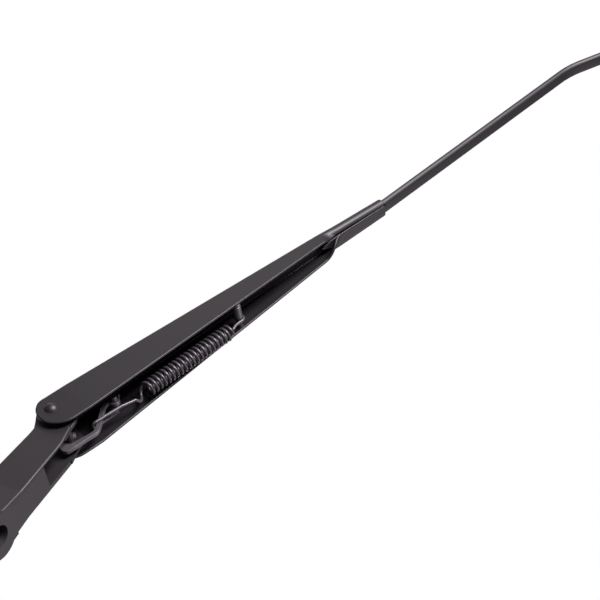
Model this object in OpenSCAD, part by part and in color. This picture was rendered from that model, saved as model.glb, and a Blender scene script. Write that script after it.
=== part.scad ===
// Windscreen wiper arm: cast mounting head, folded sheet retainer on a hinge rivet, tension
// spring with its hooked link, and a flat bar that ends in a plain hook for the blade.
// The origin is on the spindle axis where its taper ends and the plain bore begins, +Z runs
// along the spindle away from the car and +X towards the blade. The arm hangs down to its
// stop, as it does when nothing holds it up.

/* [Mounting head] */
// Distance from the spindle axis to the hinge axis
spindle_to_hinge = 78; // [68:1:95]
// Height of the hinge axis over the spindle seat
hinge_height = 18; // [17:0.5:21]
// Distance from the outside of each flange in to the side of the head
head_gap = 4.2; // [4:0.1:5]
// Thickness of the walls round the open pocket
head_wall = 2.6; // [2:0.1:3.2]
// Depth by which the ears step back from the sides of the head
ear_step = 0.6; // [0.3:0.1:1]
// Radius of the ears round the hinge axis
ear_r = 9.8; // [9:0.1:10.2]
// Height of the head's top over the hinge axis, beside the ears
head_rise = 4; // [3:0.5:6]
// Slope of the head's top, rising towards the spindle, in degrees
head_slope = 3.3; // [0:0.1:4]
// Length of the pocket, from the hinge axis towards the spindle
pocket_len = 34; // [28:1:38]
// Depth by which the floor sits above the lip along the near side
floor_recess = 1.5; // [0.8:0.1:2.4]
// Width of that lip
lip_w = 1.2; // [0.8:0.1:2]
// Radius of the round end over the spindle
boss_r = 14; // [13:0.5:17]

/* [Spindle seat] */
// Radius of the bore that clears the spindle's thread
bore_r = 4.1; // [3.1:0.1:5.1]
// Radius of the taper at its wide lower mouth
taper_r = 6; // [5.4:0.1:6.6]
// Length of the taper
taper_len = 11; // [8:0.5:13]
// Thickness of the head between the seat and the nut
seat_thick = 17; // [15:0.5:19]
// Radius of the recess for the nut
recess_r = 11; // [9.5:0.5:11.5]

/* [Retainer] */
// Thickness of the sheet
sheet = 1.5; // [1.2:0.1:2]
// Width over the flanges at the hinge
hinge_w = 28.4; // [27.6:0.1:30]
// Length from the hinge axis to the end of the nose
retainer_len = 257; // [230:1:285]
// Height of the web's outer face over the hinge axis
web_top = 11.5; // [11:0.5:13]
// Depth of the flanges under the hinge axis at their deepest
flange_drop = 16; // [15:0.5:18]
// Distance from the hinge axis to the flanges' lower corner
corner_x = 16.5; // [12:0.5:22]
// Height of the flanges' lower edge over the hinge axis where the nose begins
flange_end_z = 0.5; // [-1:0.1:1.2]
// Outer radius of the long folds
fold_r = 2.8; // [2.2:0.1:3.4]
// Distance from the hinge axis to the end of the web
web_start = 9; // [8:0.5:12]
// Length of the nose that is pressed round the bar
nose_len = 42; // [34:1:50]
// Gap between the two laps under the nose
seam_gap = 0.7; // [0.4:0.1:1.2]
// Place of that gap across the nose, towards the near side
seam_y = -3.3; // [-3.6:0.1:0]

/* [Hinge] */
// Radius of the rivet's shank
rivet_r = 3; // [2.5:0.1:3.5]
// Radius of the rivet's domed head
rivet_head_r = 3.8; // [3.7:0.1:4.6]
// Height of the rivet's domed head
rivet_head_h = 2.4; // [1.6:0.1:2.8]
// Wall of the hinge bushes
bush_wall = 1.5; // [1:0.1:1.8]
// Radius of the collar that spaces each ear from its flange
bush_collar_r = 6.4; // [5.6:0.2:7.2]
// Droop of the arm under the level of the head, in degrees
droop = 22; // [12:1:24]

/* [Flat bar] */
// Width of the bar
bar_w = 9; // [8:0.5:10]
// Thickness of the bar
bar_t = 4; // [3:0.25:4.5]
// Length of bar held inside the nose
bar_grip = 48; // [40:1:52]
// Upward set of the bar where it leaves the nose, in degrees
bar_set = 4.3; // [2:0.1:6]
// Straight length from the nose to the second bend
bar_run = 193; // [170:1:230]
// Downward bend before the tip, in degrees
bar_bend = 19.3; // [10:0.1:26]
// Inside radius of that bend
bar_bend_r = 24; // [14:1:40]
// Straight length from the bend to the blade hook
bar_tip = 58; // [40:1:80]
// Inside radius of the blade hook
hook_r = 4; // [3.5:0.25:5]
// Straight length of the blade hook's free leg
hook_leg = 13; // [9:1:18]

/* [Spring] */
// Outer diameter of the coils
spring_d = 10; // [9.4:0.1:10.4]
// Diameter of the spring wire
wire_d = 1.8; // [1.4:0.1:2]
// Number of coils
coils = 20; // [16:1:22]
// Length of the coiled stretch
coil_len = 61; // [56:1:62]
// Distance from the hinge axis to the anchor pin along the arm
anchor_x = 127.5; // [126:0.5:134]
// Height of the anchor pin relative to the hinge axis
anchor_z = -3.2; // [-3.3:0.1:-2]
// Diameter of the anchor pin
anchor_d = 4; // [3.4:0.1:4.4]
// Outer diameter of the sleeve on the anchor pin
sleeve_d = 5.2; // [5:0.1:6]

/* [Hook link] */
// Diameter of the pin in the head that the link hooks on
head_pin_d = 4; // [3.5:0.1:4.2]
// Distance from the hinge axis back to the head pin
head_pin_x = 5.4; // [5:0.1:7]
// Distance of the head pin below the hinge axis
head_pin_drop = 12; // [11.6:0.1:12.3]
// Thickness of the link
link_t = 2.4; // [2:0.1:2.6]
// Width of the link's limb
link_w = 2.8; // [2.4:0.1:3]
// Distance by which the link's nose reaches back past the head pin
link_nose = 7.6; // [7:0.1:7.8]
// Diameter of the pin through the link beside the spring
link_pin_d = 3.5; // [3:0.1:3.8]

/* [Hidden] */
$fn = 64;

run_fit = 0.05;      // radial running clearance of pins and bushes
side_gap = 0.3;      // gap between faces that slide past each other
eps = 0.05;          // overlap that keeps joined solids one piece

black = [0.17, 0.16, 0.17];
steel = [0.36, 0.36, 0.37];

// Retainer, worked out in the arm's own frame: hinge axis at the origin, +X along the web
end_r = (web_top + flange_drop) / 2;
end_x = end_r - 9;
end_z = (web_top - flange_drop) / 2;
nose_w = bar_w + 2 * sheet + 0.2;
nose_h = bar_t + 2 * sheet;
nose_x = retainer_len - nose_len;
bar_z = web_top - nose_h / 2;
flange_end_x = nose_x - 19;
flange_in = hinge_w / 2 - sheet;

// Head, measured from the hinge axis
head_w = hinge_w - 2 * head_gap;
ear_w = head_w - 2 * ear_step;
ear_in = head_w / 2 - head_wall;
shoulder_r = 13;
collar_t = flange_in - side_gap - ear_w / 2;
bush_r = rivet_r + run_fit + bush_wall;
top_at_spindle = head_rise + spindle_to_hinge * tan(head_slope);

// Link and spring, in the arm's frame as it droops; they lie beside the arm's middle plane
mech_y = 3;
pin_x = -head_pin_x * cos(droop) + head_pin_drop * sin(droop);
pin_z = -head_pin_x * sin(droop) - head_pin_drop * cos(droop);
limb_z = pin_z - 4.6;
stub_x = 34.8;
stub_z = -5.4;
mean_r = (spring_d - wire_d) / 2;
coil_x0 = anchor_x - 11.5 - coil_len;
coil_z0 = -10.5;
coil_rise = 2.16;

// Half width of the retainer at a distance along it
function half_w(x) = x < corner_x ? hinge_w / 2
    : hinge_w / 2 + (nose_w - hinge_w) / 2 * (x - corner_x) / (retainer_len - corner_x);

// Puts what is drawn in the arm's frame at the hinge, drooped to its stop
module on_arm() {
    translate([spindle_to_hinge, 0, hinge_height - taper_len]) rotate([0, droop, 0]) children();
}

// Puts what is measured from the hinge axis at the hinge, level with the head
module at_hinge() {
    translate([spindle_to_hinge, 0, hinge_height - taper_len]) children();
}

// A cylinder across the arm, from y0 to y1
module across(r, y0, y1) {
    translate([0, y1, 0]) rotate([90, 0, 0]) cylinder(r = r, h = y1 - y0);
}

// An outline in X and Z, given thickness across the arm
module side_plate(y0, y1) {
    translate([0, y1, 0]) rotate([90, 0, 0]) linear_extrude(y1 - y0) children();
}

// Mounting head

// Side outline of the head's body, from the spindle to the step in front of the ears
module head_side() {
    polygon([
        [-spindle_to_hinge - boss_r, -hinge_height],
        [-18, -hinge_height],
        [-13, -17.1],
        [-12, -17],
        [-12, head_rise],
        [-17, head_rise],
        [-spindle_to_hinge - boss_r, top_at_spindle]
    ]);
}

// Plan outline: parallel sides that widen into the round end over the spindle
module head_plan() {
    translate([-spindle_to_hinge, 0]) circle(r = boss_r);
    translate([-spindle_to_hinge, -head_w / 2]) square([spindle_to_hinge + 1, head_w]);
    polygon([
        [-spindle_to_hinge + boss_r * cos(55), -boss_r * sin(55)],
        [-spindle_to_hinge + boss_r + 10, -head_w / 2],
        [-spindle_to_hinge + boss_r + 10, head_w / 2],
        [-spindle_to_hinge + boss_r * cos(55), boss_r * sin(55)]
    ]);
}

// The two ears as one plate; the pocket parts them later
module ear_side() {
    circle(r = ear_r);
    polygon([
        [-18, head_rise - 0.4],
        [-16, head_rise - 0.2],
        [-ear_r * sin(24), ear_r * cos(24)],
        [0, 0],
        [ear_r * cos(40), -ear_r * sin(40)],
        [5.4, -11.2],
        [2.2, -14.2],
        [-2, -15.3],
        [-7.4, -15.7],
        [-13, -17.1],
        [-18, -hinge_height]
    ]);
}

module mounting_head() {
    color(black) difference() {
        at_hinge() union() {
            intersection() {
                side_plate(-boss_r, boss_r) difference() {
                    head_side();
                    circle(r = shoulder_r);
                }
                translate([0, 0, -hinge_height]) linear_extrude(hinge_height + top_at_spindle) head_plan();
            }
            side_plate(-ear_w / 2, ear_w / 2) ear_side();
        }
        // Pocket for the link, open downwards and towards the arm
        at_hinge() translate([-pocket_len, -ear_in, -hinge_height - 1])
            cube([pocket_len + ear_r + 1, 2 * ear_in, hinge_height + 1 + head_rise - head_wall - 0.6]);
        at_hinge() translate([-11, -ear_in, -2]) cube([30, 2 * ear_in, 20]);
        // Recessed floor from the boss to the ears, open on the far side
        translate([boss_r - 2, lip_w - head_w / 2, -taper_len - 1])
            cube([spindle_to_hinge - boss_r - 12, head_w + 4, 1 + floor_recess]);
        // Hinge bushes and head pin
        at_hinge() across(bush_r, -boss_r, boss_r);
        at_hinge() translate([-head_pin_x, 0, -head_pin_drop])
            across(head_pin_d / 2, -boss_r, boss_r);
        translate([0, 0, -taper_len]) spindle_seat();
    }
}

// Taper, thread bore and nut recess on the spindle axis
module spindle_seat() {
    translate([0, 0, -1]) cylinder(r = bore_r, h = hinge_height + 30);
    rotate_extrude() polygon([
        [0, -1], [taper_r + (taper_r - bore_r) / taper_len, -1], [bore_r, taper_len], [0, taper_len]
    ]);
    translate([0, 0, seat_thick]) cylinder(r = recess_r, h = 30);
}

module head_pin() {
    color(steel) at_hinge() translate([-head_pin_x, 0, -head_pin_drop])
        across(head_pin_d / 2, -ear_w / 2, ear_w / 2);
}

// A flanged bush: sleeve in the ear, collar between the ear and the flange
module bush(side) {
    color(black) at_hinge() mirror([0, side < 0 ? 0 : 1, 0]) difference() {
        union() {
            across(bush_r, -ear_w / 2, -ear_in + 0.5);
            across(bush_collar_r, -ear_w / 2 - collar_t, -ear_w / 2);
        }
        across(rivet_r + run_fit, -hinge_w, hinge_w);
    }
}

// Tube on the rivet that keeps the ears apart
module hinge_sleeve() {
    color(steel) at_hinge() difference() {
        across(bush_r - eps, -ear_in + 0.5 + eps, ear_in - 0.5 - eps);
        across(rivet_r + run_fit, -hinge_w, hinge_w);
    }
}

// Retainer

// Section across the retainer, drawn with X across and Y up, its top on the web's outer face
module channel_section(w, r, depth) {
    translate([-w, web_top - depth]) square([2 * w, depth - r]);
    translate([-w + r, web_top - r - eps]) square([2 * (w - r), r + eps]);
    for (s = [-1, 1]) translate([s * (w - r), web_top - r]) circle(r = r, $fn = 32);
}

// The same section as a thin slab at a distance along the arm, made smaller all round by inset
module section_slab(x, inset) {
    translate([x, 0, 0]) rotate([90, 0, 90]) linear_extrude(0.02)
        translate([0, -inset]) channel_section(half_w(x) - inset, fold_r - inset, 40);
}

// Solid that fills the retainer's outside, or its inside when inset: straight, then tapering
module taper_body(inset) {
    hull() {
        section_slab(-30, inset);
        section_slab(corner_x, inset);
    }
    hull() {
        section_slab(corner_x, inset);
        section_slab(retainer_len + 1, inset);
    }
}

// Side outline of the flanges: round end, straight run to the corner, long taper to the nose
module flange_side() {
    translate([end_x, end_z]) circle(r = end_r);
    polygon([
        [end_x, web_top],
        [end_x, -flange_drop],
        [corner_x, -flange_drop],
        [flange_end_x, flange_end_z],
        [flange_end_x + 4, flange_end_z + 0.9],
        [flange_end_x + 12, bar_z - 4],
        [nose_x + 1, bar_z - 0.2],
        [nose_x + 1, web_top]
    ]);
}

// Section of the nose, a flat tube with round edges
module flat_oval(w, h) {
    translate([-(w - h) / 2, -h / 2]) square([w - h, h]);
    for (s = [-1, 1]) translate([s * (w - h) / 2, 0]) circle(d = h);
}

// A flat oval bar along X, from x0 to x1
module oval_bar(w, h, x0, x1) {
    translate([x0, 0, 0]) rotate([90, 0, 90]) linear_extrude(x1 - x0) flat_oval(w, h);
}

// Thin slab of the nose's section at a distance along the arm, made smaller all round by inset
module nose_slab(x, inset) {
    translate([x, 0, bar_z]) rotate([90, 0, 90]) linear_extrude(0.02)
        flat_oval(2 * (half_w(x) - inset), nose_h - 2 * inset, $fn = 32);
}

// Nose: the flanges rolled under the bar, meeting in a seam
module nose() {
    difference() {
        hull() {
            nose_slab(nose_x - 8, 0);
            nose_slab(retainer_len - 0.02, 0);
        }
        hull() {
            nose_slab(nose_x - 9, sheet);
            nose_slab(retainer_len + 1, sheet);
        }
        translate([nose_x - 20, seam_y - seam_gap / 2, bar_z - nose_h])
            cube([nose_len + 30, seam_gap, nose_h]);
        // Rounded start of each lap
        for (s = [-1, 1]) translate([nose_x - 8, s * half_w(nose_x), bar_z - nose_h])
            cylinder(r = 5, h = nose_h - sheet - 0.7);
    }
}

module retainer() {
    color(black) on_arm() difference() {
        union() {
            intersection() {
                difference() {
                    taper_body(0);
                    taper_body(sheet);
                }
                side_plate(-hinge_w, hinge_w) flange_side();
            }
            nose();
        }
        // Web cut back so that the arm can be lifted past the head
        translate([-30, -flange_in, web_top - fold_r - 6]) cube([30 + web_start, 2 * flange_in, 20]);
        across(rivet_r, -hinge_w, hinge_w);
    }
}

// Rivet with a domed head on the near side and a formed tail on the far side
module hinge_rivet() {
    dome_r = (rivet_head_r * rivet_head_r + rivet_head_h * rivet_head_h) / (2 * rivet_head_h);
    color(steel) on_arm() union() {
        across(rivet_r, -hinge_w / 2 - eps, hinge_w / 2 + eps);
        for (s = [-1, 1]) mirror([0, s > 0 ? 1 : 0, 0]) translate([0, -hinge_w / 2, 0])
            rotate([90, 0, 0]) intersection() {
                cylinder(r = rivet_head_r, h = rivet_head_h + 1);
                translate([0, 0, rivet_head_h - dome_r]) sphere(r = dome_r);
            }
    }
}

// Flat bar

// One bend of the bar about an axis across the arm; a positive angle lifts the far end.
// Its section is a hair larger than the straight lengths, which run into it by lap.
module bar_bend_piece(angle, inside_r) {
    mean = inside_r + bar_t / 2;
    mirror([0, 0, angle > 0 ? 0 : 1]) translate([0, 0, mean]) rotate([90, 0, 0]) rotate([0, 0, -90])
        rotate_extrude(angle = abs(angle)) translate([mean, 0]) rotate(90)
            flat_oval(bar_w + 0.02, bar_t + 0.02);
}

// Moves what follows to the far end of such a bend
module past_bend(angle, inside_r) {
    mean = inside_r + bar_t / 2;
    up = angle > 0 ? 1 : -1;
    translate([mean * sin(abs(angle)), 0, up * mean * (1 - cos(angle))]) rotate([0, -angle, 0]) children();
}

module arm_rod() {
    lap = 0.2;
    color(black) on_arm() translate([retainer_len - bar_grip, 0, bar_z]) union() {
        oval_bar(bar_w, bar_t, 0, bar_grip + 1 + lap);
        translate([bar_grip + 1, 0, 0]) {
            bar_bend_piece(bar_set, 30);
            past_bend(bar_set, 30) {
                oval_bar(bar_w, bar_t, -lap, bar_run + lap);
                translate([bar_run, 0, 0]) {
                    bar_bend_piece(-bar_bend, bar_bend_r);
                    past_bend(-bar_bend, bar_bend_r) {
                        oval_bar(bar_w, bar_t, -lap, bar_tip + lap);
                        translate([bar_tip, 0, 0]) {
                            bar_bend_piece(-180, hook_r);
                            past_bend(-180, hook_r) oval_bar(bar_w, bar_t, -lap, hook_leg);
                        }
                    }
                }
            }
        }
    }
}

// Spring and its link

module anchor_pin() {
    half = half_w(anchor_x + anchor_d / 2) - sheet - 0.01;
    color(steel) on_arm() translate([anchor_x, 0, anchor_z]) across(anchor_d / 2, -half, half);
}

// Stepped sleeve: a collar at the near flange, a neck and a barrel that carries the spring
module anchor_sleeve() {
    near = half_w(anchor_x + anchor_d) - sheet - side_gap;
    color(steel) on_arm() translate([anchor_x, 0, anchor_z]) difference() {
        union() {
            across(sleeve_d / 2, -near, -near + 1.2);
            across(sleeve_d / 2 - 0.4, -near + 1.1, -near + 1.9);
            across(sleeve_d / 2, -near + 1.8, mech_y + 1.6);
        }
        across(anchor_d / 2 + run_fit, -hinge_w, hinge_w);
    }
}

// Middle line of the link's limb: under the hinge, up the slope and along past its own pin
function limb_line() = [
    [2, limb_z + 0.4], [6, limb_z + 0.2], [10, limb_z - 0.15], [12.9, limb_z], [14.7, limb_z + 0.85],
    [16.1, limb_z + 1.9], [21.05, -11.2], [25.95, -5.9], [27.4, -4.35], [28.65, -3.45], [30.4, -2.95],
    [39.2, -1.95]
];

// One edge of the limb, to the left (1) or right (-1) of its middle line
function limb_edge(line, side) = let (n = len(line)) [
    for (i = [0 : n - 1]) let (v = line[min(i + 1, n - 1)] - line[max(i - 1, 0)])
        line[i] + side * link_w / 2 / norm(v) * [-v[1], v[0]]
];

// Side outline of the link: its C round the head pin, then the limb and the lobe of its pin
module link_side() {
    left = limb_edge(limb_line(), 1);
    right = limb_edge(limb_line(), -1);
    slot = head_pin_d / 2 - 0.1;
    difference() {
        polygon(concat(
            [[pin_x + 5.4, pin_z + slot + 0.7], [pin_x + 4.7, pin_z + slot], [pin_x, pin_z + slot],
             [pin_x, pin_z - slot]],
            left,
            [for (i = [len(right) - 1 : -1 : 0]) right[i]],
            [[pin_x - 2.5, pin_z - 6.15], [pin_x - link_nose + 2.1, pin_z - 5.95],
             [pin_x - link_nose + 0.8, pin_z - 5.1], [pin_x - link_nose + 0.2, pin_z - 3.7],
             [pin_x - link_nose, pin_z - 1.9], [pin_x - link_nose + 0.25, pin_z - 0.1],
             [pin_x - link_nose + 1, pin_z + 1.5], [pin_x - link_nose + 2.2, pin_z + 2.9],
             [pin_x - link_nose + 3.6, pin_z + 3.9], [pin_x - link_nose + 5.2, pin_z + 4.5],
             [pin_x - link_nose + 7, pin_z + 4.65], [pin_x + 4.7, pin_z + 4.7],
             [pin_x + 5.4, pin_z + 4.1]]
        ));
        translate([pin_x, pin_z]) circle(r = head_pin_d / 2 + 0.1);
    }
}

module hook_link() {
    color(steel) on_arm() difference() {
        union() {
            side_plate(mech_y - link_t / 2, mech_y + link_t / 2) link_side();
            translate([stub_x, 0, stub_z])
                across(link_pin_d / 2 + 1.3, mech_y - link_t / 2, mech_y + link_t / 2);
        }
        translate([stub_x, 0, stub_z]) across(link_pin_d / 2, -hinge_w, hinge_w);
    }
}

module link_pin() {
    color(steel) on_arm() translate([stub_x, 0, stub_z]) across(link_pin_d / 2, mech_y - 4, mech_y + 3);
}

// Wire route of the spring, in the arm's frame
function helix(x, turn, r) = let (a = 235 + 360 * turn)
    [x, mech_y + r * cos(a), coil_z0 + (x - coil_x0) * tan(coil_rise) + r * sin(a)];
inner_r = (link_t + wire_d) / 2 + 0.15;
inner_x = 17.4;
outer_r = (sleeve_d + wire_d) / 2 + 0.1;
segs = 16;
lead = 13;
coil_end = coil_x0 + coil_len;
pitch = coil_len / coils;
function spring_route() = concat(
    [[33, mech_y + inner_r, -10.9], [22.6, mech_y + inner_r, -11.3]],
    [for (a = [90 : 30 : 270]) [inner_x + inner_r * cos(a), mech_y + inner_r * sin(a), -11.4 - (a - 90) / 120]],
    [[24, mech_y - inner_r, -13], [33, mech_y - inner_r, -13.5]],
    [for (i = [1 : 15]) let (u = i / 16)
        helix(coil_x0 - lead + (2 * lead - pitch) * u - (lead - pitch) * u * u, u, mean_r - 0.5 + 0.5 * u)],
    [for (i = [0 : coils * segs]) helix(coil_x0 + coil_len * i / (coils * segs), i / segs, mean_r)],
    [for (i = [1 : 4]) helix(coil_end + [0, 0.7, 1.5, 2.5, 3.8][i], i / 8, mean_r * (1 - i / 4.2))],
    [[coil_end + 6, mech_y, anchor_z - outer_r - 0.8], [anchor_x - 2.4, mech_y, anchor_z - outer_r - 0.1]],
    [for (a = [-90 : 30 : 120]) [anchor_x + outer_r * cos(a), mech_y, anchor_z + outer_r * sin(a)]]
);

// Tube swept along a route, with rings that are carried on without twist
module wire(route, d, sides) {
    n = len(route);
    tangent = [for (i = [0 : n - 1])
               let (v = route[min(i + 1, n - 1)] - route[max(i - 1, 0)]) v / norm(v)];
    normals = [for (i = 0, u = cross(tangent[0], [0, 1, 0]);
                    i < n;
                    i = i + 1, u = i < n ? u - (u * tangent[i]) * tangent[i] : u) u / norm(u)];
    points = [for (i = [0 : n - 1]) let (u = normals[i], v = cross(tangent[i], u))
              for (k = [0 : sides - 1])
              route[i] + d / 2 * (cos(360 * k / sides) * u + sin(360 * k / sides) * v)];
    side_faces = [for (i = [0 : n - 2]) for (k = [0 : sides - 1])
                  let (a = i * sides + k, b = i * sides + (k + 1) % sides)
                  [a, b, b + sides, a + sides]];
    polyhedron(points, concat(side_faces, [[for (k = [sides - 1 : -1 : 0]) k],
                                           [for (k = [0 : sides - 1]) (n - 1) * sides + k]]));
}

module tension_spring() {
    color(steel) on_arm() wire(spring_route(), wire_d, 8);
}

mounting_head();
head_pin();
bush(-1);  // bush_near
bush(1);  // bush_far
hinge_sleeve();
retainer();
hinge_rivet();
arm_rod();
anchor_pin();
anchor_sleeve();
hook_link();
link_pin();
tension_spring();
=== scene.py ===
"""Looks of a windscreen wiper arm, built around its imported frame.

The arm lies belly up towards the camera. Sizes are in millimetres in the dataclasses below and
become metres where meshes are made. The hinge axis is the origin of the "arm" coordinates, whose
X runs along the retainer; head coordinates share that origin but stay level with the frame.
"""

import logging
import math
from dataclasses import dataclass
from enum import Enum
from typing import Callable, Optional, Sequence

import bpy
from mathutils import Matrix, Vector

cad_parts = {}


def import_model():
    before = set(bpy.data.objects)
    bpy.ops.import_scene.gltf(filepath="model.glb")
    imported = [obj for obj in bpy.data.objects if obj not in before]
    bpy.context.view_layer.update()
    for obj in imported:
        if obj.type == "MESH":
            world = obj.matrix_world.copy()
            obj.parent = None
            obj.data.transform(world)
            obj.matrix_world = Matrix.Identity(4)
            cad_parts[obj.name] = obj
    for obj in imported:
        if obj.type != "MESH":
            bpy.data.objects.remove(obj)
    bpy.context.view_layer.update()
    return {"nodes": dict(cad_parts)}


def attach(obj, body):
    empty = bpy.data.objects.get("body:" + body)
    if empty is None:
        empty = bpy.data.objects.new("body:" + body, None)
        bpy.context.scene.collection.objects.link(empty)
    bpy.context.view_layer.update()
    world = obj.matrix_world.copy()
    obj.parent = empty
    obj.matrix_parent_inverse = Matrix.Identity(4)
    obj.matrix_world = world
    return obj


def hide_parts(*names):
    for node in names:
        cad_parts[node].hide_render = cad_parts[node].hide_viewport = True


logging.basicConfig(level=logging.INFO, format="%(levelname)s %(name)s: %(message)s")
LOG = logging.getLogger("wiper_arm")

MM = 0.001
Point2 = tuple[float, float]
Point3 = tuple[float, float, float]


class Body(Enum):
    """Bodies of the frame that pieces ride on."""

    HEAD = "head"
    ARM = "arm"
    LINK = "link"
    SPRING = "spring"


class Slot(Enum):
    """Material slots of the record."""

    PAINT = "black_paint"
    STEEL = "dark_steel"
    PLASTIC = "bush_plastic"


# Frames


@dataclass(frozen=True)
class HingeFrame:
    """Where the hinge axis lies in the row frame, and how far the arm hangs down at rest."""

    hinge_x: float = 78.0
    hinge_z: float = 7.0
    droop_deg: float = 22.0

    def head(self) -> Matrix:
        """Matrix from head coordinates, in millimetres, to the row frame in metres.

        Returns:
            The 4x4 matrix.
        """
        move = Matrix.Translation((self.hinge_x * MM, 0, self.hinge_z * MM))
        return move @ Matrix.Scale(MM, 4)

    def arm(self) -> Matrix:
        """Matrix from arm coordinates, in millimetres, to the row frame in metres.

        Returns:
            The 4x4 matrix.
        """
        return self.head() @ Matrix.Rotation(math.radians(self.droop_deg), 4, "Y")


FRAME = HingeFrame()


# Materials


def srgb(code: str) -> tuple[float, float, float, float]:
    """Turns a hex colour into the linear colour that shader sockets take.

    Args:
        code: six hex digits, with or without a leading #.

    Returns:
        Linear red, green and blue, and an alpha of one.
    """
    code = code.lstrip("#")
    parts = [int(code[i : i + 2], 16) / 255 for i in (0, 2, 4)]
    lin = [p / 12.92 if p <= 0.04045 else ((p + 0.055) / 1.055) ** 2.4 for p in parts]
    return (lin[0], lin[1], lin[2], 1.0)


@dataclass(frozen=True)
class Finish:
    """One surface finish.

    Attributes:
        name: material name.
        colour: main colour as hex.
        mottle: second colour, mixed in by slow noise.
        metallic: share of metal.
        roughness: mean roughness.
        rough_spread: how far noise moves the roughness each way.
        grain_mm: size of the fine bump, about a pixel wide, as the real grain is too fine to show.
        grain_depth: height of the fine bump, in metres.
    """

    name: str
    colour: str
    mottle: str
    metallic: float = 0.0
    roughness: float = 0.4
    rough_spread: float = 0.04
    grain_mm: float = 0.6
    grain_depth: float = 0.00001


# Satin black paint on folded sheet: the darkest paint, with a broad soft sheen.
SATIN_BLACK = Finish("satin_black_paint", "#110f11", "#141214", roughness=0.49, rough_spread=0.03,
                     grain_mm=0.5, grain_depth=0.000004)
# The same kind of paint on a rough casting: a little greyer, and the dullest of the paints.
CAST_BLACK = Finish("cast_black_paint", "#171517", "#1b191b", roughness=0.53, rough_spread=0.03,
                    grain_mm=0.35, grain_depth=0.000008)
# Paint on the flat bar: dark, with a dull sheen along its rounded edges.
BAR_BLACK = Finish("bar_black_paint", "#121012", "#151315", roughness=0.52, rough_spread=0.04,
                   grain_mm=0.8, grain_depth=0.000003)
# Paint on the rivet's formed heads: a little smoother, so that the dome takes a small highlight.
RIVET_BLACK = Finish("rivet_black", "#151315", "#191719", roughness=0.48,
                     grain_mm=0.4, grain_depth=0.000003)
# Dark drawn spring wire, half metallic: each turn carries a thin grey line of light.
SPRING_STEEL = Finish("dark_spring_steel", "#4a474a", "#545154", metallic=0.5, roughness=0.4,
                      rough_spread=0.06, grain_mm=0.4, grain_depth=0.000003)
# Phosphated steel of link, stub and sleeve: the same grey, less metallic and a little shinier.
LINK_STEEL = Finish("phosphated_steel", "#4a474a", "#524f52", metallic=0.3, roughness=0.36,
                    rough_spread=0.06, grain_mm=0.3, grain_depth=0.000004)
# Dark steel of the pins and the hinge sleeve, nearly black and dull: partly the steel's own dark tone,
# partly painted shade, darkened so that they stay as dark as the shade they sit in.
PIN_STEEL_PAINTED_SHADE = Finish("pin_steel_painted_shade", "#1c1b1c", "#222122", roughness=0.5,
                   rough_spread=0.06, grain_mm=0.3, grain_depth=0.000003)
# Moulded black plastic of the bushes: matt, the dullest finish of all.
BUSH_BLACK = Finish("bush_black", "#141314", "#191819", roughness=0.55, grain_mm=0.5)


class MaterialLibrary:
    """Makes each finish's material once."""

    MOTTLE_MM = 18
    MOTTLE_DETAIL = 3.0
    GRAIN_DETAIL = 2.0
    BUMP_STRENGTH = 0.6

    def __init__(self) -> None:
        """Starts with no materials."""
        self._made: dict[str, bpy.types.Material] = {}

    @staticmethod
    def _node(tree: bpy.types.NodeTree, kind: str, **values: object) -> bpy.types.Node:
        """Adds a shader node.

        Args:
            tree: the node tree.
            kind: node type name.
            values: attributes to set, or input sockets by name with spaces as underscores.

        Returns:
            The node.
        """
        node = tree.nodes.new(kind)
        for key, value in values.items():
            if hasattr(node, key):
                setattr(node, key, value)
            else:
                node.inputs[key.replace("_", " ")].default_value = value
        return node

    def get(self, finish: Finish) -> bpy.types.Material:
        """Gives the material of a finish.

        Args:
            finish: the finish.

        Returns:
            The material, made on the first call.
        """
        if finish.name in self._made:
            return self._made[finish.name]
        mat = bpy.data.materials.new(finish.name)
        mat.use_nodes = True
        tree = mat.node_tree
        tree.nodes.clear()
        link = tree.links.new
        out = self._node(tree, "ShaderNodeOutputMaterial")
        bsdf = self._node(tree, "ShaderNodeBsdfPrincipled", Metallic=finish.metallic)
        link(bsdf.outputs["BSDF"], out.inputs["Surface"])
        where = self._node(tree, "ShaderNodeTexCoord")
        slow = self._node(tree, "ShaderNodeTexNoise", Scale=1 / (self.MOTTLE_MM * MM),
                          Detail=self.MOTTLE_DETAIL)
        fine = self._node(tree, "ShaderNodeTexNoise", Scale=1 / (finish.grain_mm * MM),
                          Detail=self.GRAIN_DETAIL)
        for noise in (slow, fine):
            link(where.outputs["Object"], noise.inputs["Vector"])
        mix = self._node(tree, "ShaderNodeMix", data_type="RGBA")
        colours = [s for s in mix.inputs if s.type == "RGBA"]
        colours[0].default_value = srgb(finish.colour)
        colours[1].default_value = srgb(finish.mottle)
        link(slow.outputs["Fac"], mix.inputs[0])
        link([s for s in mix.outputs if s.type == "RGBA"][0], bsdf.inputs["Base Color"])
        spread = self._node(tree, "ShaderNodeMapRange")
        spread.inputs["To Min"].default_value = finish.roughness - finish.rough_spread
        spread.inputs["To Max"].default_value = finish.roughness + finish.rough_spread
        link(slow.outputs["Fac"], spread.inputs["Value"])
        link(spread.outputs["Result"], bsdf.inputs["Roughness"])
        bump = self._node(tree, "ShaderNodeBump", Strength=self.BUMP_STRENGTH,
                          Distance=finish.grain_depth)
        link(fine.outputs["Fac"], bump.inputs["Height"])
        link(bump.outputs["Normal"], bsdf.inputs["Normal"])
        self._made[finish.name] = mat
        return mat


LIBRARY = MaterialLibrary()


# Modelling helpers


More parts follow.
